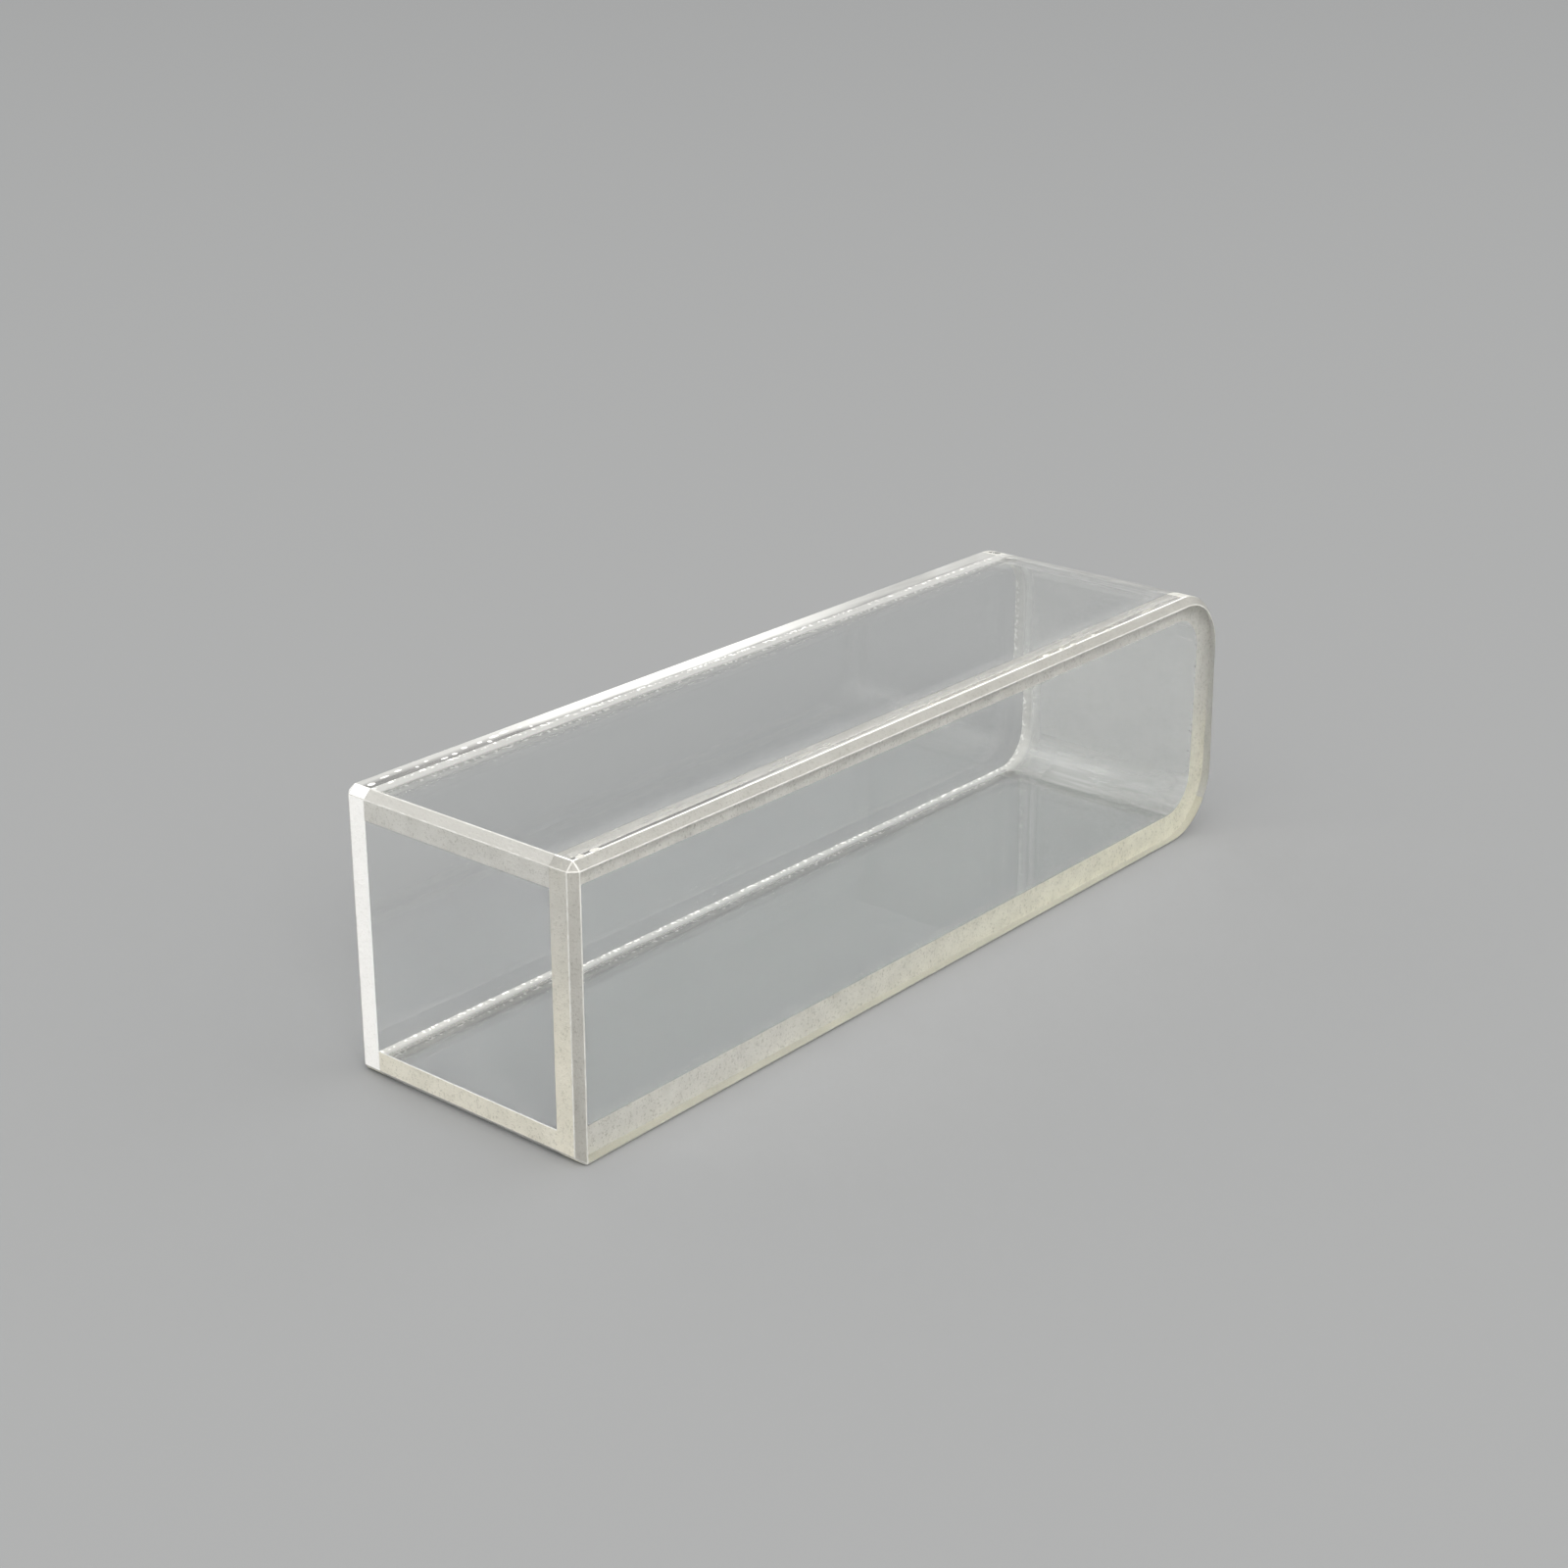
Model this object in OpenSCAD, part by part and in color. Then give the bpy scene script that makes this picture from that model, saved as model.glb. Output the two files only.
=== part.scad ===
// Square glass cuvette of 10 mm path, lying on one side wall with its mouth towards -Y.
//
// It is three pieces of glass, fused face to face. The frame is one strip bent to a U: its two legs are
// the side walls and its bend is the closed base. A polished window covers each open side of the U.
// Once fused, the block has its sharp outside edges ground to a bevel, which runs on from piece to piece.

/* [Overall] */
// Length from the mouth to the outside of the base
body_l = 45; // [20:0.5:60]
// Outside depth across the two legs of the frame
body_h = 12.5; // [10:0.1:20]

/* [Windows] */
// Optical path, which is the clear gap between the windows
path_w = 10; // [2:0.5:20]
// Thickness of each window
window_t = 1.25; // [0.8:0.05:2]

/* [Frame] */
// Thickness of the bent strip, in its legs and in the base
strip_t = 1.25; // [0.8:0.05:2]
// Inside radius of the two bends beside the base
bend_r = 1.85; // [0.5:0.05:2.8]

/* [Ground edges] */
// Leg of the 45 degree bevel along the outside edges
bevel = 0.35; // [0.05:0.05:0.6]
// Leg of the slighter bevel along the edges that the cell rests on
foot_bevel = 0.1; // [0.05:0.05:0.6]

/* [Hidden] */
$fn = 96;
body_w = path_w + 2 * window_t;
// Outside radius of the bends, on the same centres as the inside one
corner_r = bend_r + strip_t;
// Centre of the bend at +Z, measured from the middle of the block
bend_y = body_l / 2 - corner_r;
bend_z = body_h / 2 - corner_r;
// How far a cut runs past the surface it opens
over = 0.5;

// The block is drawn round its middle. This stands it on its lower leg.
module on_bench() {
    translate([0, 0, body_h / 2]) children();
}

// Draws an outline in Y and Z, and gives it a width along X
module across(w) {
    rotate([90, 0, 90]) linear_extrude(w, center = true) children();
}

module with_mirror(normal) {
    children();
    mirror(normal) children();
}

// Side outline of a U or of the space in it: square at the mouth, and round at both far corners
module tongue(mouth_y, end_y, h, r) {
    translate([mouth_y, -h / 2]) square([end_y - r - mouth_y, h]);
    translate([mouth_y, r - h / 2]) square([end_y - mouth_y, h - 2 * r]);
    for (z = [r - h / 2, h / 2 - r])
        translate([end_y - r, z]) circle(r);
}

module outside_outline() {
    tongue(-body_l / 2, body_l / 2, body_h, corner_r);
}

module cavity_outline() {
    tongue(-body_l / 2 - over, body_l / 2 - strip_t, body_h - 2 * strip_t, bend_r);
}

// Bar along Z that takes a bevel off an edge at the origin, of a solid that lies towards -X and -Y
module edge_bar(l, leg) {
    linear_extrude(l, center = true)
        polygon([[over, over], [-leg - over, over], [over, -leg - over]]);
}

// The same bevel round the outside of one bend: all that lies outside a 45 degree cone
module bend_ring(leg) {
    difference() {
        translate([body_w / 2 - leg, bend_y, bend_z])
            cube([leg + over, corner_r + over, corner_r + over]);
        translate([body_w / 2 - leg - over, bend_y, bend_z]) rotate([0, 90, 0])
            cylinder(h = leg + 2 * over, r1 = corner_r + over, r2 = corner_r - leg - over);
    }
}

// The bevel between the two bends, at the base. It narrows from the upper one to the lower one, so the
// bar that cuts it leans a little, about the middle of the edge.
module base_edge() {
    upright = 2 * bend_z;
    middle_leg = (bevel + foot_bevel) / 2;
    lean = atan((bevel - foot_bevel) / sqrt(2) / upright);
    translate([body_w / 2, body_l / 2, 0]) intersection() {
        cube([2 * over, 2 * over, upright], center = true);
        translate([-middle_leg / 2, -middle_leg / 2, 0]) rotate(a = lean, v = [1, -1, 0])
            translate([middle_leg / 2, middle_leg / 2, 0]) edge_bar(upright + 2 * over, middle_leg);
    }
}

// What grinding takes off one upper quarter: along the window, round the bend and across the mouth
module ground_quarter(leg) {
    past_mouth = body_l + 2 * over;
    translate([body_w / 2, bend_y - past_mouth / 2, body_h / 2]) rotate([90, 0, 0])
        edge_bar(past_mouth, leg);
    bend_ring(leg);
    translate([0, -body_l / 2, body_h / 2]) mirror([0, 1, 0]) rotate([90, 0, 90])
        edge_bar(body_w + 2 * over, bevel);
}

// All that grinding takes off the fused block, with the slighter bevel along its feet
module ground_off() {
    with_mirror([1, 0, 0]) {
        ground_quarter(bevel);
        mirror([0, 0, 1]) ground_quarter(foot_bevel);
        base_edge();
        translate([body_w / 2, -body_l / 2, 0]) mirror([0, 1, 0]) edge_bar(body_h + 2 * over, bevel);
    }
}

module frame() {
    color([0.80, 0.86, 0.84, 0.55]) on_bench() difference() {
        across(path_w) outside_outline();
        across(path_w + 2 * over) cavity_outline();
        ground_off();
    }
}

// side is -1 for the left window and 1 for the right one
module window(side) {
    color([0.88, 0.93, 0.95, 0.40]) on_bench() difference() {
        translate([side * (path_w + window_t) / 2, 0, 0]) across(window_t) outside_outline();
        ground_off();
    }
}

frame();
window(-1);  // left_window
window(1);  // right_window
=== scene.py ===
# %% [markdown]
# # A square glass cuvette, modelled the way it is made
#
# A cuvette holds a liquid sample in the beam of an instrument. This one is 45 mm long and 12.5 mm square,
# with a path of 10 mm between its two windows. It is three pieces of glass. A strip is bent to a U, which
# gives the two side walls and the closed base. A polished window is then fused to each open side of the U.
# What makes it read as a cuvette is the contrast of two finishes: clear polished faces, and pale ground
# edges where the saw and the grinding wheel have been.

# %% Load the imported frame
import math
import random

import bmesh
import bpy
from mathutils import Euler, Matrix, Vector


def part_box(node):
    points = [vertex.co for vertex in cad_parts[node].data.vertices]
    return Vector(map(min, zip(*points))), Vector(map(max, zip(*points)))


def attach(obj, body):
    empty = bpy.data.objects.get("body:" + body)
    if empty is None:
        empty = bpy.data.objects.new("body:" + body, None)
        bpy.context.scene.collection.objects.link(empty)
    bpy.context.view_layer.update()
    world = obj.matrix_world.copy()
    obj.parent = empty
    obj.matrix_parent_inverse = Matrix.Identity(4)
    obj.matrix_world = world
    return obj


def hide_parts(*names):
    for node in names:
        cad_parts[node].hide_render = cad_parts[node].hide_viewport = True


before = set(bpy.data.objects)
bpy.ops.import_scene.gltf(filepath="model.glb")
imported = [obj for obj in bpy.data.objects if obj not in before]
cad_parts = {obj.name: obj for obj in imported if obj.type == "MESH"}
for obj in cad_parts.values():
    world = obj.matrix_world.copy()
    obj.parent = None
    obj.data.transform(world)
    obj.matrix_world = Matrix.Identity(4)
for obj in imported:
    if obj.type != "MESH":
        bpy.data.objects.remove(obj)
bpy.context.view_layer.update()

MM = 0.001

# %% [markdown]
# ## The sizes that the three pieces share
#
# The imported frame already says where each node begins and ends, so lengths, widths and heights are read
# from it. Only what a box can't tell is written here: the thickness of the strip, the radius of its two
# bends, and the widths of the ground bevels. The strip also reaches a hundredth of a millimetre into each
# window. Fused glass has no air between its parts, and a gap here would turn the light back at the joint.

# %% Read the sizes
frame_low, frame_high = (Vector(corner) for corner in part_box("frame"))
right_low, right_high = (Vector(corner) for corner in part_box("right_window"))

mouth_y = frame_low.y
base_y = frame_high.y
bottom_z = frame_low.z
top_z = frame_high.z
middle_z = (bottom_z + top_z) / 2
seam_x = right_low.x
outer_x = right_high.x

strip_t = 1.25 * MM
bend_inside_r = 1.85 * MM
bend_outside_r = bend_inside_r + strip_t
bevel_leg = 0.35 * MM
foot_leg = 0.10 * MM
arris_leg = 0.03 * MM
joint_depth = 0.01 * MM

bend_y = base_y - bend_outside_r
low_bend_z = bottom_z + bend_outside_r
high_bend_z = top_z - bend_outside_r
print("length %.1f mm, height %.1f mm" % ((base_y - mouth_y) / MM, (top_z - bottom_z) / MM))

# %% [markdown]
# ## The camera
#
# The camera stands in front of the mouth, to the right and a little above, so that the mouth, the right
# window and the top are all in view. Its place and its heading were worked out from the perspective of
# the long edges. A lens of about 60 mm keeps the far end only slightly smaller than the near one.

# %% Place the camera
camera_place = Vector((67.14, -83.72, 49.69)) * MM
camera_pitch = -21.56
camera_heading = 39.80
camera_roll = 0.20
camera_lens = 59.72
film_width = 36.0
level_view = 90

camera_data = bpy.data.cameras.new("bench_camera")
camera_data.lens = camera_lens
camera_data.sensor_width = film_width
camera_data.clip_start = 1 * MM
camera = bpy.data.objects.new("bench_camera", camera_data)
bpy.context.scene.collection.objects.link(camera)
camera.location = camera_place
# An unturned camera looks straight down, so a quarter turn brings its view level first
camera.rotation_euler = Euler(
    (math.radians(level_view + camera_pitch), 0, math.radians(camera_heading)), "XYZ"
)
camera.rotation_euler.rotate_axis("Z", math.radians(camera_roll))
bpy.context.scene.camera = camera
print("camera at", [round(value / MM, 1) for value in camera.location], "mm")

# %% [markdown]
# ## Small helpers for modelling
#
# Blender's operators act on whatever is selected. The frame arrives selected and a new primitive is
# selected all over, so each step clears the selection first and then picks its faces or edges by where
# they are and which way they face.

# %% Helpers that select and place
def clear_selection():
    """Leaves nothing selected, in object mode."""
    if bpy.context.object and bpy.context.object.mode != "OBJECT":
        bpy.ops.object.mode_set(mode="OBJECT")
    bpy.ops.object.select_all(action="DESELECT")


def make_active(piece):
    """Selects one piece alone and makes it the active one."""
    clear_selection()
    piece.select_set(True)
    bpy.context.view_layer.objects.active = piece


def place_in_mesh(piece):
    """Moves a piece's place, turn and size into its mesh, so that its object sits at the origin."""
    make_active(piece)
    bpy.ops.object.transform_apply(location=True, rotation=True, scale=True)


def start_editing(piece, kind="FACE"):
    """Enters edit mode with nothing selected."""
    make_active(piece)
    bpy.ops.object.mode_set(mode="EDIT")
    bpy.ops.mesh.select_mode(type=kind)
    bpy.ops.mesh.select_all(action="DESELECT")


def stop_editing():
    """Goes back to object mode."""
    bpy.ops.object.mode_set(mode="OBJECT")


# %% Helpers that pick by place
NEAR = 0.002 * MM


def pick(piece, kind, wanted):
    """In edit mode, selects the parts of this kind for which wanted(part) is true, and counts them."""
    bpy.ops.mesh.select_all(action="DESELECT")
    mesh = bmesh.from_edit_mesh(piece.data)
    parts = {"FACE": mesh.faces, "EDGE": mesh.edges, "VERT": mesh.verts}[kind]
    picked = 0
    for part in parts:
        if wanted(part):
            part.select_set(True)
            picked += 1
    mesh.select_flush_mode()
    bmesh.update_edit_mesh(piece.data)
    return picked


def ends(edge):
    """Where the two ends of an edge are."""
    return [corner.co for corner in edge.verts]


def pick_faces(piece, wanted):
    """Selects the faces for which wanted(centre, normal) is true."""
    return pick(piece, "FACE", lambda face: wanted(face.calc_center_median(), face.normal))


def pick_edges(piece, wanted):
    """Selects the edges for which wanted(one end, other end) is true."""
    return pick(piece, "EDGE", lambda edge: wanted(*ends(edge)))


def pick_corners(piece, wanted):
    """Selects the corners for which wanted(place) is true."""
    return pick(piece, "VERT", lambda corner: wanted(corner.co))


print("places less than %.3f mm apart count as one" % (NEAR / MM))


# %% Helpers that copy, close and measure
WELD = 0.0005 * MM


def copied(piece, name):
    """A copy of a piece, with its own mesh."""
    copy = piece.copy()
    copy.data = piece.data.copy()
    copy.name = name
    bpy.context.scene.collection.objects.link(copy)
    return copy


def weld_and_turn_out(piece):
    """Merges doubled corners, then turns every face outwards."""
    start_editing(piece)
    bpy.ops.mesh.select_all(action="SELECT")
    bpy.ops.mesh.remove_doubles(threshold=WELD)
    bpy.ops.mesh.normals_make_consistent(inside=False)
    stop_editing()


def measured(piece):
    """How many faces and open edges a piece has, and its volume. A closed piece has no open edge."""
    mesh = bmesh.new()
    mesh.from_mesh(piece.data)
    loose = sum(1 for edge in mesh.edges if len(edge.link_faces) != 2)
    volume = mesh.calc_volume(signed=True) / MM**3
    mesh.free()
    return "%s: %d faces, %d open edges, %.1f mm3" % (piece.name, len(piece.data.polygons), loose, volume)


print("corners less than %.4f mm apart are welded" % (WELD / MM))

# %% [markdown]
# ## Shader maths in plain Python
#
# A material is a tree of nodes. Written out node by node it is hard to read, so one small class wraps a
# socket and lets it be used in an ordinary expression: `1 - mask * 0.5` adds the two Math nodes that it
# needs. Any other node comes from its one method, which takes the node's type, its settings, and the
# values or links of its sockets.


# %% A wire that can be used in an expression
class Wire:
    """An output socket in a node tree, or the tree alone while socket is None."""

    def __init__(self, tree, socket=None):
        self.tree = tree
        self.socket = socket

    def node(self, kind, settings=None, sockets=None, out=0):
        """Adds a node, sets it up, fills its sockets, and gives a wire on one of its outputs."""
        made = self.tree.nodes.new(kind)
        for name, value in (settings or {}).items():
            setattr(made, name, value)
        for name, value in (sockets or {}).items():
            if isinstance(value, Wire):
                self.tree.links.new(value.socket, made.inputs[name])
            else:
                made.inputs[name].default_value = value
        return Wire(self.tree, made.outputs[out] if made.outputs else None)

    def maths(self, operation, *values):
        """Adds a Math node for this operation on these values."""
        settings = {"operation": operation}
        return self.node("ShaderNodeMath", settings, dict(enumerate(values)))

    def __add__(self, other):
        return self.maths("ADD", self, other)

    __radd__ = __add__

    def __sub__(self, other):
        return self.maths("SUBTRACT", self, other)

    def __rsub__(self, other):
        return self.maths("SUBTRACT", other, self)

    def __mul__(self, other):
        return self.maths("MULTIPLY", self, other)

    __rmul__ = __mul__


print("a wire adds, subtracts and multiplies")


# %% Nodes that every finish uses
# A Mix node has its two colours and its blended colour at these places
MIX_ONE = 6
MIX_OTHER = 7
MIX_COLOUR = 2


def new_material(name):
    """An empty node material, and a bare wire to build in it."""
    material = bpy.data.materials.new(name)
    material.use_nodes = True
    material.node_tree.nodes.clear()
    return material, Wire(material.node_tree)


def finish_surface(wire, sockets):
    """Ends a tree in one Principled shader with these sockets."""
    shader = wire.node("ShaderNodeBsdfPrincipled", None, sockets)
    wire.node("ShaderNodeOutputMaterial", None, {"Surface": shader})


def stretched_place(wire, scale=(1, 1, 1)):
    """The point on the object, times one factor for each axis. A small factor draws a pattern out."""
    place = wire.node("ShaderNodeTexCoord", out="Object")
    return wire.node("ShaderNodeMapping", None, {"Vector": place, "Scale": scale})


def along(wire, axis):
    """How far a point is along one axis of the object."""
    place = wire.node("ShaderNodeTexCoord", out="Object")
    return wire.node("ShaderNodeSeparateXYZ", None, {"Vector": place}, axis)


def noise(wire, place, size, detail=2.0, roughness=0.5):
    """Soft noise from 0 to 1, whose spots are about size across, in metres."""
    sockets = {"Vector": place, "Scale": 1 / size, "Detail": detail, "Roughness": roughness}
    return wire.node("ShaderNodeTexNoise", None, sockets, "Fac")


def remap(wire, value, low, high, to_low=0.0, to_high=1.0):
    """Takes low..high to to_low..to_high, by a soft step that is held at both ends."""
    names = ("Value", "From Min", "From Max", "To Min", "To Max")
    sockets = dict(zip(names, (value, low, high, to_low, to_high)))
    return wire.node("ShaderNodeMapRange", {"interpolation_type": "SMOOTHSTEP"}, sockets)


def blend(wire, share, one, other, blend_type="MIX"):
    """A colour that goes from one to other as share goes from 0 to 1."""
    settings = {"data_type": "RGBA", "blend_type": blend_type}
    sockets = {"Factor": share, MIX_ONE: one, MIX_OTHER: other}
    return wire.node("ShaderNodeMix", settings, sockets, MIX_COLOUR)


def bump(wire, height, depth):
    """A normal that leans with height, where 0 to 1 stands for depth in metres."""
    return wire.node("ShaderNodeBump", None, {"Height": height, "Distance": depth, "Strength": 1.0})


print("shader helpers ready")

# %% [markdown]
# ## Polished glass
#
# The windows are lapped flat and polished until they are as clear as the liquid they hold. Clear glass
# has almost no look of its own: it is a colourless shader that lets all light through, bends it by its
# index of 1.5 and mirrors a little of the room. What keeps it from looking like nothing at all is a
# breath of wiping marks, which only show in the roughness.

# %% Polished window glass
GLASS_INDEX = 1.5
CLEAR = (0.985, 0.992, 0.988, 1)
wipe_width = 6 * MM
wipe_stretch = (1, 1, 0.35)
wipe_roughness = 0.006

polished_window, wire = new_material("polished_window")
wiped = noise(wire, stretched_place(wire, wipe_stretch), wipe_width, detail=3.0)
wipe_marks = remap(wire, wiped, 0.5, 0.75)
finish_surface(wire, {
    "Base Color": CLEAR,
    "Roughness": wipe_marks * wipe_roughness,
    "IOR": GLASS_INDEX,
    "Transmission Weight": 1.0,
})
print("wiping marks about %.0f mm wide" % (wipe_width / MM))

# %% [markdown]
# ## Glass that glows
#
# Ground, fused and softened glass scatters light. Part of it is turned back at the surface, and part glows
# through from behind, so these places stay light even where no lamp reaches their outside. A grey paint
# would have only the first part. So such a surface is two shaders in one: a Principled body, and a milk
# that is part Translucent and part Diffuse. The share of milk is a mask, and a mask may change over the
# surface.


# %% A body with milk over it
def milky_surface(wire, body_sockets, colour, share, turned_back=0.0):
    """Ends a tree in a Principled body, with this share of milk over it.

    The milk lets light glow through from behind, and turns the part turned_back of it back.
    """
    body = wire.node("ShaderNodeBsdfPrincipled", None, body_sockets)
    milk_sockets = {"Color": colour, "Normal": body_sockets["Normal"]}
    milk = wire.node("ShaderNodeBsdfTranslucent", None, milk_sockets)
    if turned_back:
        chalk = wire.node("ShaderNodeBsdfDiffuse", None, milk_sockets)
        milk = wire.node("ShaderNodeMixShader", None, {0: turned_back, 1: milk, 2: chalk})
    mixed = wire.node("ShaderNodeMixShader", None, {0: share, 1: body, 2: milk})
    wire.node("ShaderNodeOutputMaterial", None, {"Surface": mixed})


print("milky surfaces ready")

# %% [markdown]
# ## The seams seen from the strip
#
# Where a window was fused on, the joint has bled a little into the strip: a thin line of tiny bubbles in
# the corner, and a milky breath that fades within a millimetre. The left seam is made milkier than the
# right one, and that is painted light: the left side is lighter where the light falls on it. Both are
# masks on the distance from the middle, because the seams are flat and upright. They could be modelled
# as bubbles, but at this size they only ever show as a grain of light.

# %% Masks beside the seams
MILK = (0.97, 0.97, 0.95, 1)
milk_reach = 0.80 * MM
corner_reach = 0.30 * MM
corner_milk = 0.05
bubble_size = 0.20 * MM
bubble_milk = 0.90
right_share = 0.12
side_change = 1 * MM
seam_turned_back = 0.8


def beside_the_seam(wire, reach, level=0.0):
    """1 from the seam to level in from it, and 0 from reach on."""
    from_the_middle = wire.maths("ABSOLUTE", along(wire, "X"))
    return remap(wire, from_the_middle, seam_x - reach, seam_x - level)


def joint_haze(wire, milk, level):
    """How milky the strip is beside its seams: this share of milk, evenly so as far in as level."""
    specks = noise(wire, stretched_place(wire), bubble_size, detail=1.0)
    bubbles = remap(wire, specks, 0.52, 0.66)
    corner_line = beside_the_seam(wire, corner_reach) * (corner_milk + bubbles * bubble_milk)
    # Milkier on the left, which is painted light: the left side is lighter where the light falls on it
    painted_left_light = remap(wire, along(wire, "X"), -side_change, side_change, 1.0, right_share)
    return (beside_the_seam(wire, milk_reach, level) * milk + corner_line) * painted_left_light


print("seams at %.2f mm to either side, milky for %.2f mm" % (seam_x / MM, milk_reach / MM))

# %% [markdown]
# ## The polished legs of the strip
#
# The two side walls were drawn and then polished by the flame, so they are clear, with faint waves along
# their length. The waves are noise that is stretched along the legs, and they show a little in the
# roughness and a little in the normal. The top has a broader milky margin than the faces inside. That
# margin is painted light: it makes the seam seen through the top lighter and wider.

# %% Drawn glass
wave_width = 2.2 * MM
wave_stretch = (1, 0.08, 1)
wave_depth = 0.004 * MM
wave_roughness = 0.01


def drawn_glass(name, milk, level):
    """Clear drawn glass with milky seams: this share of milk, evenly so as far in as level."""
    material, wire = new_material(name)
    waves = noise(wire, stretched_place(wire, wave_stretch), wave_width, detail=1.0)
    milky_surface(wire, {
        "Base Color": CLEAR,
        "Roughness": remap(wire, waves, 0.4, 0.7, 0.0, wave_roughness),
        "IOR": GLASS_INDEX,
        "Transmission Weight": 1.0,
        "Normal": bump(wire, waves, wave_depth),
    }, MILK, joint_haze(wire, milk, level), seam_turned_back)
    return material


# The top's broader milky margin is painted light on the seam seen through it
strip_top = drawn_glass("strip_top", milk=0.42, level=0.45 * MM)
strip_inside = drawn_glass("strip_inside", milk=0.45, level=0.20 * MM)
print("drawn glass:", strip_top.name, strip_inside.name)

# %% [markdown]
# ## The bent base
#
# The strip was softened to bend it, and it came back less clear than it was. The forming tool left fine
# lines across the base, and there is a thin fog over it. The fog is thicker in the lower bend, and that
# extra milk is a painted highlight along the inner fillet. So the base has the same milk as the seams,
# with a share that is made of these: lines, cloud, and height.

# %% Softened glass of the bent base
BASE_GLASS = (0.97, 0.98, 0.97, 1)
tool_line_width = 0.26 * MM
tool_line_stretch = (0.05, 1, 1)
tool_line_depth = 0.003 * MM
cloud_width = 2.0 * MM
cloud_stretch = (0.6, 1, 1)
even_fog = 0.11
line_fog = 0.06
cloud_fog = 0.06
low_bend_highlight = 0.10
high_fog = 0.14
base_turned_back = 0.5

bent_base, wire = new_material("bent_base")
tool_lines = noise(wire, stretched_place(wire, tool_line_stretch), tool_line_width, detail=2.0)
cloud = noise(wire, stretched_place(wire, cloud_stretch), cloud_width, detail=3.0)
streaks = remap(wire, tool_lines, 0.45, 0.65)
low_down = remap(wire, along(wire, "Z"), 2.2 * MM, 3.6 * MM, 1.0, 0.0)
high_up = remap(wire, along(wire, "Z"), 10.2 * MM, 11.8 * MM)
fog_and_light = even_fog + streaks * line_fog + remap(wire, cloud, 0.4, 0.7, 0.0, cloud_fog)
# The extra milk low down is a painted highlight along the inner fillet
fog_and_light = fog_and_light + low_down * low_bend_highlight + high_up * high_fog
milky_surface(wire, {
    "Base Color": BASE_GLASS,
    "Roughness": remap(wire, cloud + tool_lines * 0.5, 0.4, 1.0, 0.02, 0.10),
    "IOR": GLASS_INDEX,
    "Transmission Weight": 1.0,
    "Normal": bump(wire, tool_lines, tool_line_depth),
}, MILK, fog_and_light + joint_haze(wire, milk=0.42, level=0.30 * MM), base_turned_back)
print("tool lines %.2f mm wide" % (tool_line_width / MM))

# %% [markdown]
# ## Ground glass
#
# The mouth, the bevels and the side faces of the strip were cut by a diamond wheel. It leaves a surface
# like fine sandpaper, pale with darker pits about a tenth of a millimetre wide, and broad cloudy patches
# where it pressed harder. One function makes every ground finish, from a pale colour, a pit colour and
# the share that glows. A second colour takes over where a mask says so, and it paints light and shade:
# lighter at the foot, and greyer higher up and nearer the mouth.

# %% The wheel's finish
GRAIN = 0.11 * MM
PATCH = 9 * GRAIN
GRAIN_DEPTH = 0.3 * GRAIN
PATCH_WEAR = 0.25
PIT_WEAR = 0.75
FINE_GROUND = 0.40
ROUGH_GROUND = 0.60


def ground_glass(name, pale, pit, through, shade_by=None, shaded=None):
    """Ground glass: a pale body, the wheel's darker pits, and light that glows through it.

    Where shade_by(wire) goes to 1, the colour goes to shaded, which paints light and shade on the face.
    """
    material, wire = new_material(name)
    place = stretched_place(wire)
    patches = noise(wire, place, PATCH, detail=3.0)
    fine = noise(wire, place, GRAIN, detail=3.0, roughness=0.75)
    pits = remap(wire, fine, 0.55, 0.64)
    colour = pale
    if shade_by:
        colour = blend(wire, shade_by(wire), pale, shaded)
    worn = remap(wire, patches, 0.3, 0.7, 0.0, PATCH_WEAR) + pits * PIT_WEAR
    milky_surface(wire, {
        "Base Color": blend(wire, worn, colour, pit, "MULTIPLY"),
        "Roughness": remap(wire, fine, 0.2, 0.8, FINE_GROUND, ROUGH_GROUND),
        "IOR": GLASS_INDEX,
        "Normal": bump(wire, fine, GRAIN_DEPTH),
    }, pale, through)
    return material


print("grain %.2f mm" % (GRAIN / MM))


# %% Where painted light and shade change the ground edges
def towards_mouth(wire):
    """1 near the mouth, falling to 0 near the base."""
    return remap(wire, along(wire, "Y"), -16 * MM, 17 * MM, 1.0, 0.0)


def shade_towards_top(wire):
    """0 low down, rising to 1 near the top, where painted shade greys the face."""
    return remap(wire, along(wire, "Z"), 4 * MM, 11 * MM)


def painted_light_at_foot(wire):
    """1 at the foot, falling to 0 above the lower leg, where painted light from below falls."""
    return remap(wire, along(wire, "Z"), 0.6 * MM, 3.0 * MM, 1.0, 0.0)


def shade_above_or_near(wire):
    """1 in the upper leg and towards the mouth, in painted shade, and 0 at the far end of the lower leg."""
    above = remap(wire, along(wire, "Z"), 3 * MM, 8 * MM)
    return wire.maths("MAXIMUM", above, towards_mouth(wire))


print("ground edges may change towards the mouth, the top or the foot")

# %% [markdown]
# ## One finish for each ground face
#
# These colours are painted light and shade. The mouth of the left window is painted almost white, as the
# light that falls from the left, and that of the strip is painted cream below, as warm light, and greyer
# above, as shade. The right window's mouth is painted cream below and greyer above, as shade. The bevels
# are painted the darkest, as shade. The two seams are the side faces of the strip, and they are seen
# through the glass of the windows. A glass seen through glass looks darker than it is, so they are written
# paler than they show.

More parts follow.
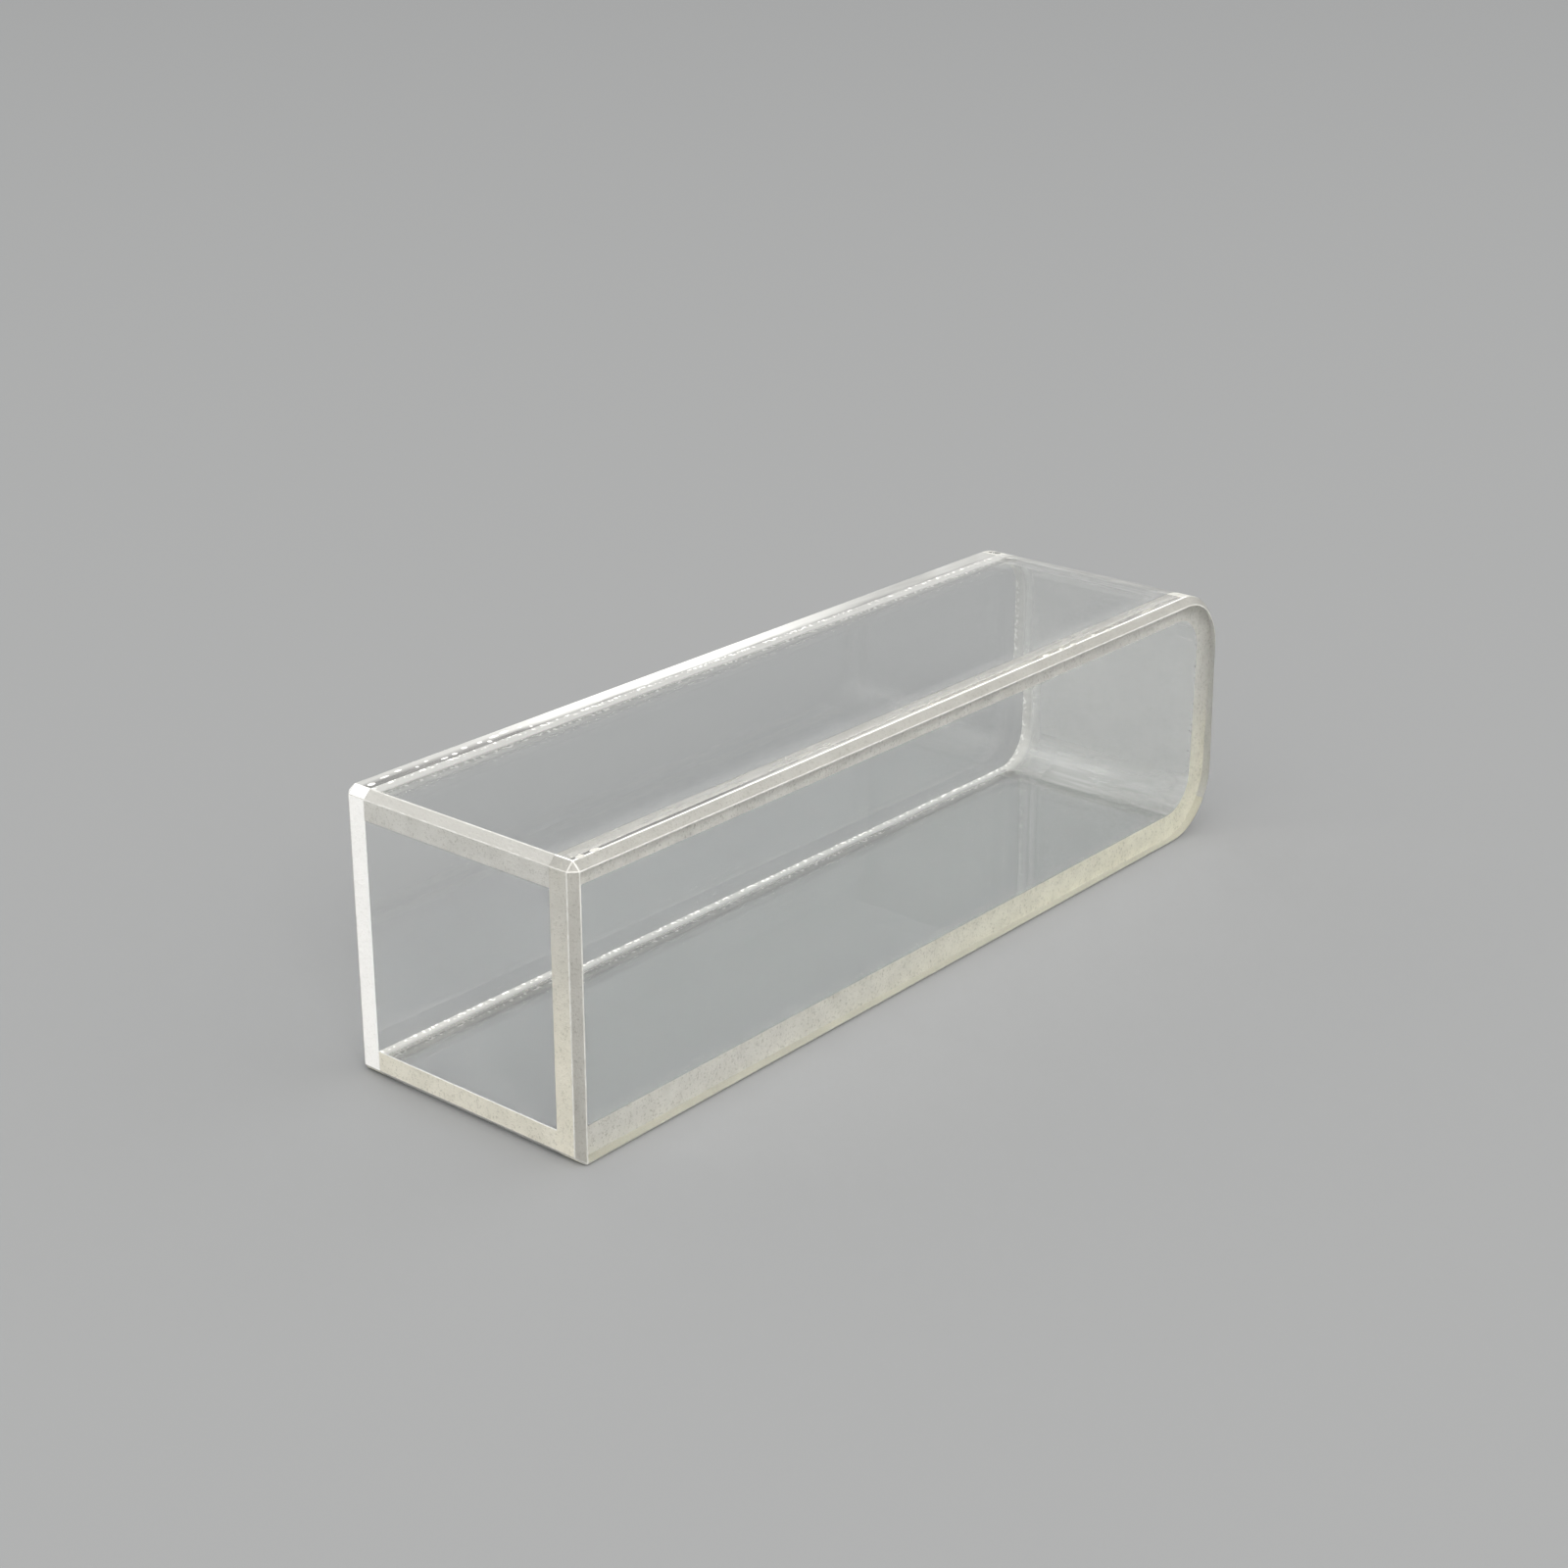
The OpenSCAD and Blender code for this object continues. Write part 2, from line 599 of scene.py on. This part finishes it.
# %% Ground finishes
# These colours paint light and shade: WHITE and the creams where the light falls, the greys in shade
WHITE = (0.99, 0.99, 0.98, 1)
BRIGHT_CREAM = (0.99, 0.97, 0.84, 1)
CREAM = (0.91, 0.88, 0.77, 1)
SEAM_GREY = (0.86, 0.85, 0.82, 1)
PALE_GREY = (0.82, 0.815, 0.78, 1)
SOFT_GREY = (0.66, 0.655, 0.625, 1)
SHADE_GREY = (0.52, 0.515, 0.49, 1)
LIGHT_PIT = (0.86, 0.86, 0.85, 1)
DARK_PIT = (0.60, 0.60, 0.58, 1)

# Each one: its name, its pale colour, the colour of its pits, the share of light that glows through, and
# where another colour takes over, with that colour
# Painted light and shade: the left mouth white, the strip's mouth cream below and grey above
white_mouth = ground_glass("white_ground_mouth", WHITE, LIGHT_PIT, 0.10)
cream_mouth = ground_glass("cream_ground_mouth", CREAM, DARK_PIT, 0.30)
# The right mouth is painted greyer towards the top, as shade
right_mouth = ground_glass("right_ground_mouth", CREAM, DARK_PIT, 0.35, shade_towards_top, SOFT_GREY)
grey_mouth = ground_glass("grey_ground_mouth", PALE_GREY, DARK_PIT, 0.40)
# Both bevels are painted darker than the mouths, as shade
rim_bevel = ground_glass("ground_rim_bevel", SOFT_GREY, LIGHT_PIT, 0.40)
ground_bevel = ground_glass("ground_bevel", SHADE_GREY, DARK_PIT, 0.40)
# Painted light from below: the edge goes white at the foot, and the foot is painted paler than the edges
ground_edge = ground_glass("ground_edge", PALE_GREY, DARK_PIT, 0.25, painted_light_at_foot, WHITE)
ground_foot = ground_glass("ground_foot", BRIGHT_CREAM, LIGHT_PIT, 0.03)
# Painted light and shade: the left seam white, the right one cream far down the lower leg, grey elsewhere
left_seam = ground_glass("left_ground_seam", WHITE, LIGHT_PIT, 0.08)
right_seam = ground_glass("right_ground_seam", BRIGHT_CREAM, DARK_PIT, 0.04, shade_above_or_near, SEAM_GREY)
print("ground finishes:", [material.name for material in bpy.data.materials if "ground" in material.name])

# %% [markdown]
# ## The top edge of a window: wear and painted light
#
# Along the top, the narrow edge of each window is left polished, so one looks down through it at the
# milky seam. The left one has been knocked and rubbed along its outer side, and it is foggy there. That
# fog is partly wear and partly painted light, which makes the left top lighter where the light falls on
# it. Further back the fog covers its whole width before it thins out again towards the base.

# %% Polished top edges
bevel_x = outer_x - bevel_leg
rub_width = 0.5 * MM
rub_stretch = (1, 0.15, 1)
rub_depth = 0.004 * MM
rub_roughness = 0.03
top_haze = 0.12
rubbed_haze = 0.25


def polished_top(name, fog_and_light, reach):
    """Clear glass, foggy by this share along its outer side, as far in as reach, as wear and painted light.
    """
    material, wire = new_material(name)
    rubbed = noise(wire, stretched_place(wire, rub_stretch), rub_width, detail=3.0)
    further_back = remap(wire, along(wire, "Y"), -20 * MM, -8 * MM)
    to_the_end = remap(wire, along(wire, "Y"), -2 * MM, 14 * MM, 0.0, 0.75)
    from_the_middle = wire.maths("ABSOLUTE", along(wire, "X"))
    place = from_the_middle + (rubbed - 0.5 + further_back) * (reach * 0.5)
    outer = remap(wire, place, bevel_x - reach, bevel_x - reach * 0.3)
    foggy_and_lit = outer * (0.4 + further_back * 0.6 - to_the_end)
    milky_surface(wire, {
        "Base Color": CLEAR,
        "Roughness": remap(wire, rubbed, 0.4, 0.7, 0.0, rub_roughness),
        "IOR": GLASS_INDEX,
        "Transmission Weight": 1.0,
        "Normal": bump(wire, rubbed, rub_depth),
    }, MILK, top_haze + rubbed * rubbed_haze + foggy_and_lit * fog_and_light, seam_turned_back)
    return material


# The left top is foggier than the right, partly as wear and partly as painted light from the left
left_top = polished_top("left_polished_top", fog_and_light=0.70, reach=0.70 * MM)
right_top = polished_top("right_polished_top", fog_and_light=0.20, reach=0.10 * MM)
print("polished tops:", left_top.name, right_top.name)

# %% [markdown]
# ## Arrises and chips
#
# No edge of ground glass is knife sharp. The last stroke of the stone takes the arris off, a few
# hundredths of a millimetre wide. Most arrises take the painted shade of the bevels beside them, and
# those along the top are painted white, a painted highlight for the light they catch as a line. Where an
# edge was knocked, a chip came out in the shape of a shell. A fresh one is painted white inside, a
# painted glint, a deep one is clear, and a rubbed one has gone dull.


# %% Arris finishes
nick_size = 0.30 * MM
nick_depth = 0.02 * MM
nick_roughness = 0.2


def arris_finish(name, pale, dull, smooth):
    """A thin stoned face of this roughness, rougher and duller where it is nicked."""
    material, wire = new_material(name)
    nicks = noise(wire, stretched_place(wire), nick_size, detail=2.0)
    finish_surface(wire, {
        "Base Color": blend(wire, remap(wire, nicks, 0.4, 0.6), pale, dull),
        "Roughness": remap(wire, nicks, 0.3, 0.7, smooth, smooth + nick_roughness),
        "IOR": GLASS_INDEX,
        "Normal": bump(wire, nicks, nick_depth),
    })
    return material


# The top arrises are painted white, a painted highlight for the line of light they catch
highlight_arris = arris_finish("highlight_arris", WHITE, PALE_GREY, smooth=0.15)
# The other arrises take the bevels' painted shade
soft_arris = arris_finish("soft_arris", SHADE_GREY, DARK_PIT, smooth=0.40)
print("arrises %.2f mm wide" % (arris_leg / MM))

# %% The inside of a chip
ripple_width = 0.15 * MM
ripple_depth = 0.01 * MM
chip_clearness = 0.3
chip_milk = 0.6

# The white inside is a painted glint, which makes a fresh chip sparkle
chipped_glass, wire = new_material("chipped_glass")
ripples = noise(wire, stretched_place(wire), ripple_width, detail=1.0)
milky_surface(wire, {
    "Base Color": WHITE,
    "Roughness": remap(wire, ripples, 0.3, 0.7, 0.10, 0.30),
    "IOR": GLASS_INDEX,
    "Transmission Weight": chip_clearness,
    "Normal": bump(wire, ripples, ripple_depth),
}, WHITE, chip_milk, seam_turned_back)
print("materials so far:", len(bpy.data.materials))

# %% [markdown]
# ## The frame: one strip, bent twice
#
# The walls and the base are one strip of glass. It was heated where it had to turn and folded over a
# former, which is why the two corners at the base are round and equally thick all the way. A box with a
# pocket cut in it would have the same outline, but its faces wouldn't run round the bends. So the strip is
# made as it was bent: it starts as the upper leg, its end face is spun round the first bend, drawn down
# along the base, spun round the second bend and drawn back to the mouth.

# %% Bend the strip to a U
strip_w = 2 * (seam_x + joint_depth)
leg_length = bend_y - mouth_y
flat_base = high_bend_z - low_bend_z
bend_steps = 32
quarter_turn = math.radians(90)
ACROSS = (1, 0, 0)

clear_selection()
bpy.ops.mesh.primitive_cube_add(
    size=1,
    location=(0, (mouth_y + bend_y) / 2, top_z - strip_t / 2),
    scale=(strip_w, leg_length, strip_t),
)
strip = bpy.context.object
strip.name = "bent_strip"
place_in_mesh(strip)

start_editing(strip)
pick_faces(strip, lambda centre, normal: centre.y > bend_y - NEAR)
bpy.ops.mesh.spin(steps=bend_steps, angle=quarter_turn, center=(0, bend_y, high_bend_z), axis=ACROSS)
bpy.ops.mesh.extrude_region_move(TRANSFORM_OT_translate={"value": (0, 0, -flat_base)})
bpy.ops.mesh.spin(steps=bend_steps, angle=quarter_turn, center=(0, bend_y, low_bend_z), axis=ACROSS)
bpy.ops.mesh.extrude_region_move(TRANSFORM_OT_translate={"value": (0, -leg_length, 0)})
stop_editing()
weld_and_turn_out(strip)
print(measured(strip))

# %% [markdown]
# ## The ground mouth of the strip
#
# After fusing, the whole mouth is ground flat on a wheel and its outer edges are bevelled by hand. The
# inner edges stay as they were. On the strip that leaves two edges to bevel, one on each leg, and they
# are found by their place: across the mouth, and on the outside.


# %% Grind the mouth of the strip
def on_outer_mouth(one, other):
    """True for an edge across the mouth, on the outside of a leg."""
    at_mouth = max(abs(one.y - mouth_y), abs(other.y - mouth_y)) < NEAR
    outside = min(abs(one.z - middle_z), abs(other.z - middle_z)) > (top_z - middle_z) - NEAR
    return at_mouth and outside and abs(one.x - other.x) > NEAR


start_editing(strip, "EDGE")
picked = pick_edges(strip, on_outer_mouth)
bpy.ops.mesh.bevel(offset=bevel_leg, offset_type="OFFSET", segments=1, affect="EDGES")
stop_editing()
print("bevelled %d mouth edges, then" % picked, measured(strip))

# %% [markdown]
# ## The windows
#
# A window is a flat plate, cut to the outline of the U. It starts as a box, and its two corners at the
# base are bevelled to a quarter circle with as many steps as the bends have, so that the two pieces meet
# without a step. Then the outside rim is bevelled. Along the foot the wheel took off much less, so there
# the corners of the bevel are moved outwards and its lower edge is moved down.


# %% Helpers that shape a window
def round_corners(plate):
    """Rounds the two corners at the base, to run on from the bends of the strip."""
    def at_base(one, other):
        return min(one.y, other.y) > base_y - NEAR and abs(one.x - other.x) > NEAR

    start_editing(plate, "EDGE")
    pick_edges(plate, at_base)
    bpy.ops.mesh.bevel(offset=bend_outside_r, segments=bend_steps, profile=0.5, affect="EDGES")
    stop_editing()


def bevel_rim(plate):
    """Bevels the outside rim and the ends of the mouth."""
    def to_bevel(one, other):
        round_outside = min(one.x, other.x) > outer_x - NEAR
        across_mouth = max(one.y, other.y) < mouth_y + NEAR and abs(one.x - other.x) > NEAR
        return round_outside or across_mouth

    start_editing(plate, "EDGE")
    picked = pick_edges(plate, to_bevel)
    bpy.ops.mesh.bevel(offset=bevel_leg, segments=1, affect="EDGES")
    stop_editing()
    return picked


print("corners of %.1f mm, bevels of %.2f mm" % (bend_outside_r / MM, bevel_leg / MM))


# %% A helper that narrows the bevel at the foot
def ease_foot(plate):
    """Narrows the bevel along the foot and round the lower bend."""
    narrower = bevel_leg - foot_leg
    shrink = (bend_outside_r - foot_leg) / (bend_outside_r - bevel_leg)

    def inner_side(point):
        low = point.z < low_bend_z + NEAR
        return low and abs(point.x - bevel_x) < NEAR and point.y > mouth_y + NEAR

    def outside_round_bend(point):
        low = point.z < low_bend_z + NEAR
        return low and abs(point.x - outer_x) < NEAR and point.y > bend_y - NEAR

    def outside_along_foot(point):
        low = point.z < bottom_z + bevel_leg + NEAR
        return low and abs(point.x - outer_x) < NEAR and point.y < bend_y - NEAR

    start_editing(plate, "VERT")
    pick_corners(plate, inner_side)
    bpy.ops.transform.translate(value=(narrower, 0, 0))
    pick_corners(plate, outside_round_bend)
    bpy.ops.transform.resize(value=(1, shrink, shrink), center_override=(outer_x, bend_y, low_bend_z))
    pick_corners(plate, outside_along_foot)
    bpy.ops.transform.translate(value=(0, 0, -narrower))
    stop_editing()


print("bevel of %.2f mm at the foot" % (foot_leg / MM))


# %% Model the right window
clear_selection()
bpy.ops.mesh.primitive_cube_add(
    size=1,
    location=(right_low + right_high) / 2,
    scale=right_high - right_low,
)
right_window = bpy.context.object
right_window.name = "right_pane"
place_in_mesh(right_window)
round_corners(right_window)
picked = bevel_rim(right_window)
ease_foot(right_window)
print("bevelled %d edges, then" % picked, measured(right_window))

# %% [markdown]
# ## The second window
#
# The two windows are the same plate, turned to face each other, so the second is a mirrored copy with its
# own mesh. A mirror turns every face inside out. That is why the copy is welded and its faces are turned
# outwards again before anything else is done to it. The wear comes later, and differs from side to side.

# %% Mirror it for the left side
left_window = copied(right_window, "left_pane")
left_window.scale.x = -1
place_in_mesh(left_window)
weld_and_turn_out(left_window)
print(measured(left_window))

# %% [markdown]
# ## Which face gets which finish
#
# Every finish on a real cuvette goes with a face: the wheel touched the mouth, the bevels and the edges,
# and the polishing lap touched the outside. So each face chooses its own finish by where it is and which
# way it looks, by one short rule for each piece. The finishes of the arrises get their slots already,
# because the bevel that makes the arrises asks for its finish by slot number.


# %% Give finishes by a rule
def give_finishes(piece, finishes, choose):
    """Fills the slots with these materials, and gives each face the one that choose names."""
    piece.data.materials.clear()
    for material in finishes:
        piece.data.materials.append(material)
    counts = {}
    for face in piece.data.polygons:
        material = choose(face.center, face.normal)
        face.material_index = finishes.index(material)
        counts[material.name] = counts.get(material.name, 0) + 1
    print(piece.name, counts)


print("each face takes its finish by a rule")


# %% The rule for the strip
FACING = 0.9
mouth_end = mouth_y + bevel_leg


def strip_rule(centre, normal):
    """The finish of a face of the strip."""
    if abs(normal.x) > FACING:
        # The left seam is painted lighter than the right one, as light from the left
        return left_seam if centre.x < 0 else right_seam
    if centre.y < mouth_end:
        if normal.y > -FACING:
            return rim_bevel
        # The upper mouth is painted grey as shade, the lower one cream as warm light
        return grey_mouth if centre.z > middle_z else cream_mouth
    if centre.y > bend_y + NEAR:
        return bent_base
    return strip_top if centre.z > top_z - NEAR else strip_inside


strip_finishes = [
    left_seam, right_seam, grey_mouth, cream_mouth, rim_bevel,
    bent_base, strip_top, strip_inside, soft_arris,
]
give_finishes(strip, strip_finishes, strip_rule)


# %% The rule for a window
FLAT = 0.9999
SLANTED = 0.5


def window_rule(mouth_finish, rim_finish, top_finish):
    """The rule for a window whose mouth, mouth bevels and top have these finishes."""
    def choose(centre, normal):
        if abs(normal.x) > FACING:
            return polished_window
        if normal.z > FLAT:
            return top_finish
        if normal.z < -SLANTED:
            return ground_foot
        if abs(normal.x) > SLANTED:
            return rim_finish if centre.y < mouth_end else ground_bevel
        if centre.y < mouth_end:
            return mouth_finish if normal.y < -FACING else rim_finish
        return ground_edge

    return choose


arrises = [highlight_arris, soft_arris]
left_finishes = [polished_window, ground_bevel, white_mouth, ground_edge, ground_foot, left_top] + arrises
# The left window's mouth and mouth bevels are painted white, as light falling from the left
give_finishes(left_window, left_finishes, window_rule(white_mouth, white_mouth, left_top))
right_finishes = [polished_window, ground_bevel, right_mouth, ground_edge, ground_foot, right_top] + arrises
# The right window's mouth bevels take the bevels' painted shade
give_finishes(right_window, right_finishes, window_rule(right_mouth, ground_bevel, right_top))

# %% [markdown]
# ## Breaking the arrises
#
# An arris is the edge where two faces meet. A glass worker always breaks it with a fine stone, or it cuts
# fingers and flakes off. In the model a very narrow bevel does it, with its own finish. Only sharp edges
# take it, and not the edges in the joint, because those are fused and nothing can reach them.

# %% Break the arrises
SHARP = math.radians(20)


def break_arrises(piece, wanted):
    """Takes the sharpness off the edges that wanted picks, with a thin bevel of the soft finish."""
    start_editing(piece, "EDGE")
    bpy.ops.mesh.edges_select_sharp(sharpness=SHARP)
    mesh = bmesh.from_edit_mesh(piece.data)
    sharp = {edge.index for edge in mesh.edges if edge.select}
    picked = pick(piece, "EDGE", lambda edge: edge.index in sharp and wanted(*ends(edge)))
    soft = piece.data.materials.find(soft_arris.name)
    bpy.ops.mesh.bevel(offset=arris_leg, segments=1, affect="EDGES", material=soft)
    stop_editing()
    print("broke %d edges, then" % picked, measured(piece))


def outside_the_joint(one, other):
    """True for an edge that isn't in the joint."""
    return max(abs(abs(one.x) - seam_x), abs(abs(other.x) - seam_x)) > NEAR


def across_the_mouth(one, other):
    """True for an edge across the mouth."""
    return max(one.y, other.y) < mouth_end + NEAR and abs(one.x - other.x) > NEAR


break_arrises(left_window, outside_the_joint)
break_arrises(right_window, outside_the_joint)
break_arrises(strip, across_the_mouth)


# %% Paint a highlight on the arrises along the top
def paint_top_highlight(plate):
    """Gives the arrises along the top of a window the painted highlight."""
    soft = plate.data.materials.find(soft_arris.name)
    bright = plate.data.materials.find(highlight_arris.name)
    brightened = 0
    for face in plate.data.polygons:
        if face.material_index == soft and face.center.z > top_z - arris_leg:
            face.material_index = bright
            brightened += 1
    print(plate.name, "bright arrises", brightened)


paint_top_highlight(left_window)
paint_top_highlight(right_window)

# %% [markdown]
# ## Chips
#
# When glass is knocked at an edge, a shell comes out of it. The hollow is a piece of an uneven ball, so a
# ball is what cuts it: one ball is modelled, and each chip is a copy with its own mesh, stretched, turned
# and roughened a little. They are cut out one after another, because two that overlap can't be cut out
# together. A cut takes over the ball's material, so the inside of every chip gets its finish from the
# ball. The chips are placed by dice with a fixed seed, and come out the same each time.

# %% One ball to chip with
UNEVEN = 0.12

clear_selection()
bpy.ops.mesh.primitive_ico_sphere_add(subdivisions=3, radius=1)
chip_ball = bpy.context.object
chip_ball.name = "chip_ball"
print("ball of %d faces" % len(chip_ball.data.polygons))


def uneven_ball(place, size, turn, seed, inside=chipped_glass):
    """A stretched and roughened copy of the ball, with its own mesh, that leaves this finish inside."""
    ball = copied(chip_ball, "chip")
    ball.data.materials.append(inside)
    ball.location = place
    ball.scale = size
    ball.rotation_euler = turn
    place_in_mesh(ball)
    start_editing(ball, "VERT")
    bpy.ops.mesh.select_all(action="SELECT")
    bpy.ops.transform.vertex_random(offset=min(size) * UNEVEN, seed=seed)
    stop_editing()
    return ball


# %% Cut chips out of a piece
def bite(piece, balls):
    """Cuts these balls out of a piece, one after another, and throws them away."""
    for ball in balls:
        make_active(piece)
        cut = piece.modifiers.new("chip", "BOOLEAN")
        cut.operation = "DIFFERENCE"
        cut.solver = "EXACT"
        cut.material_mode = "TRANSFER"
        cut.object = ball
        bpy.ops.object.modifier_apply(modifier=cut.name)
        bpy.data.objects.remove(ball, do_unlink=True)
    print("%d chips, then" % len(balls), measured(piece))


print("chips are cut with", chip_ball.name)


# %% Chips along the left window
dice = random.Random(5)
seeds = 99
chip_row_start = mouth_y + 0.7 * MM
chip_row_end = mouth_y + 17 * MM


def throw(low, high):
    """A length between these two, in millimetres, by the dice."""
    return dice.uniform(low, high) * MM


left_balls = []
along_edge = chip_row_start
while along_edge < chip_row_end:
    length = throw(0.07, 0.30)
    across = -bevel_x + throw(0.30, 0.70)
    above = top_z + throw(0.03, 0.06)
    size = (throw(0.06, 0.13), length, throw(0.09, 0.15))
    tilt = (0, dice.uniform(-0.3, 0.3), 0)
    left_balls.append(uneven_ball((across, along_edge, above), size, tilt, dice.randrange(seeds)))
    along_edge += 2 * length + throw(0.03, 0.5)

# The one large chip is a clear pit beside the joint, where the top turns down to the base
pit_place = Vector((-seam_x - 0.38 * MM, bend_y + 0.42 * MM, top_z + 0.02 * MM))
deep_shell = (0.30 * MM, 0.20 * MM, 0.26 * MM)
shallow_shell = (0.16 * MM, 0.34 * MM, 0.16 * MM)
beside_it = Vector((0.10, 0.12, -0.02)) * MM
left_balls.append(uneven_ball(pit_place, deep_shell, (-0.2, 0, 0.5), 3, polished_window))
left_balls.append(uneven_ball(pit_place + beside_it, shallow_shell, (-0.2, 0, 0.3), 8, polished_window))
bite(left_window, left_balls)

# %% Chips along the right window
knocked_at = (-21.7, -20.9, 8.1, 9.3, 10.2, 11.9, 13.0)
above_top = top_z + 0.03 * MM
unturned = (0, 0, 0)
right_balls = []
for place_y in knocked_at:
    length = throw(0.12, 0.35)
    place = (bevel_x - throw(0.0, 0.10), place_y * MM, above_top)
    size = (throw(0.10, 0.16), length, throw(0.08, 0.12))
    right_balls.append(uneven_ball(place, size, unturned, dice.randrange(seeds), soft_arris))
bite(right_window, right_balls)
bpy.data.objects.remove(chip_ball, do_unlink=True)

# %% [markdown]
# ## Smooth the bends and put the pieces in place of the CAD ones
#
# The bends are many narrow flat faces. Smooth shading by angle makes them look round and leaves every
# real edge crisp, because a bend turns by less than 3 degrees from face to face. Then each piece takes
# the place of its CAD node. The cell has no joints, so all three ride on the same body.

# %% Smooth and attach
BEND_ANGLE = math.radians(20)
for piece, node, slot in (
    (strip, "frame", "frame_glass"),
    (left_window, "left_window", "window_glass"),
    (right_window, "right_window", "window_glass"),
):
    make_active(piece)
    bpy.ops.object.shade_smooth_by_angle(angle=BEND_ANGLE)
    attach(piece, "root")
    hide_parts(node)
    print(piece.name, "replaces", node)

# %% [markdown]
# ## The floor
#
# Clear glass shows what is behind it, so the floor decides how it looks. A white floor would swallow the
# pale edges. This paper is a light matt grey, paler than the clear glass in front of it and darker than
# the ground edges. It has no sheen and reaches far past the view, so that from every side one sees the
# same even ground. It lies a hair below the cell, as paper gives a little under glass.

# %% Floor
floor_drop = 0.03 * MM
floor_size = 30.0
PAPER = (0.275, 0.28, 0.285, 1)

clear_selection()
bpy.ops.mesh.primitive_plane_add(size=floor_size, location=(0, 0, bottom_z - floor_drop))
floor = bpy.context.object
floor.name = "pale_floor"
pale_paper, wire = new_material("pale_paper")
finish_surface(wire, {"Base Color": PAPER, "Roughness": 1.0, "Specular IOR Level": 0.0})
floor.data.materials.append(pale_paper)
print("floor %.0f m wide" % floor_size)

# %% [markdown]
# ## The light
#
# One large soft lamp stands to the front right, and gives the shadow and the warm tone of the ground
# faces. A bright lamp is also what clear glass mirrors as a hard white slab, seen from the other side. So
# the rest of the light comes from the studio's walls: three broad, dim glows that fade out softly,
# in front, on the left and behind. They light the edges all round, and their mirror image is only a
# gentle sheen.

# %% The key lamp
WARM = (1.0, 0.975, 0.93)
centre = Vector((0, 0, middle_z))
key_place = Vector((0.785, -0.613, 0.836))
key_size = 0.50
key_watts = 9.0

key_data = bpy.data.lights.new("key_lamp", "AREA")
key_data.shape = "SQUARE"
key_data.size = key_size
key_data.energy = key_watts
key_data.color = WARM
key_lamp = bpy.data.objects.new("key_lamp", key_data)
bpy.context.scene.collection.objects.link(key_lamp)
key_lamp.location = key_place
key_lamp.rotation_euler = (centre - key_place).to_track_quat("-Z", "Y").to_euler()
print("key lamp %.2f m from the cell" % (centre - key_place).length)

# %% The lit walls of the studio
world = bpy.data.worlds.new("studio")
bpy.context.scene.world = world
world.use_nodes = True
world.node_tree.nodes.clear()
wire = Wire(world.node_tree)
way = wire.node("ShaderNodeTexCoord", out="Generated")
height = wire.node("ShaderNodeSeparateXYZ", None, {"Vector": way}, "Z")


def glow_of_wall(turn, rise, full, edge):
    """1 within the angle full of the direction turn, rise, and 0 from the angle edge on, in degrees."""
    turn, rise, full, edge = (math.radians(angle) for angle in (turn, rise, full, edge))
    aim = (math.cos(rise) * math.cos(turn), math.cos(rise) * math.sin(turn), math.sin(rise))
    settings = {"operation": "DOT_PRODUCT"}
    nearness = wire.node("ShaderNodeVectorMath", settings, {0: way, 1: aim}, "Value")
    return remap(wire, nearness, math.cos(edge), math.cos(full))


print("walls glow by direction")


# %% The three glows and the dim room
COOL = (0.98, 0.99, 1.0)
dim_room = 0.36
front_strength = 1.65
left_strength = 1.35
back_strength = 1.45

front_glow = glow_of_wall(turn=-38, rise=30, full=35, edge=70)
left_glow = glow_of_wall(turn=195, rise=30, full=20, edge=50)
back_glow = glow_of_wall(turn=58, rise=26, full=15, edge=42)
off_the_floor = remap(wire, height, 0.10, 0.50)
glows = front_glow * front_strength + left_glow * left_strength + back_glow * back_strength
studio_light = dim_room + glows * off_the_floor
tint = blend(wire, front_glow * off_the_floor, (*COOL, 1), (*WARM, 1))
back = wire.node("ShaderNodeBackground", None, {"Color": tint, "Strength": studio_light})
wire.node("ShaderNodeOutputWorld", None, {"Surface": back})
print("studio light has %d nodes" % len(world.node_tree.nodes))

# %% [markdown]
# ## Colours as written, and glass that stays clear
#
# The Standard view shows a colour as it is written. Cycles normally blurs sharp reflections that are seen
# by way of a rough surface. In glass this turns the inside of a joint dark, so the blur is switched off.

# %% View and glass settings
bpy.context.scene.view_settings.view_transform = "Standard"
bpy.context.scene.cycles.blur_glossy = 0.0
print("view", bpy.context.scene.view_settings.view_transform)
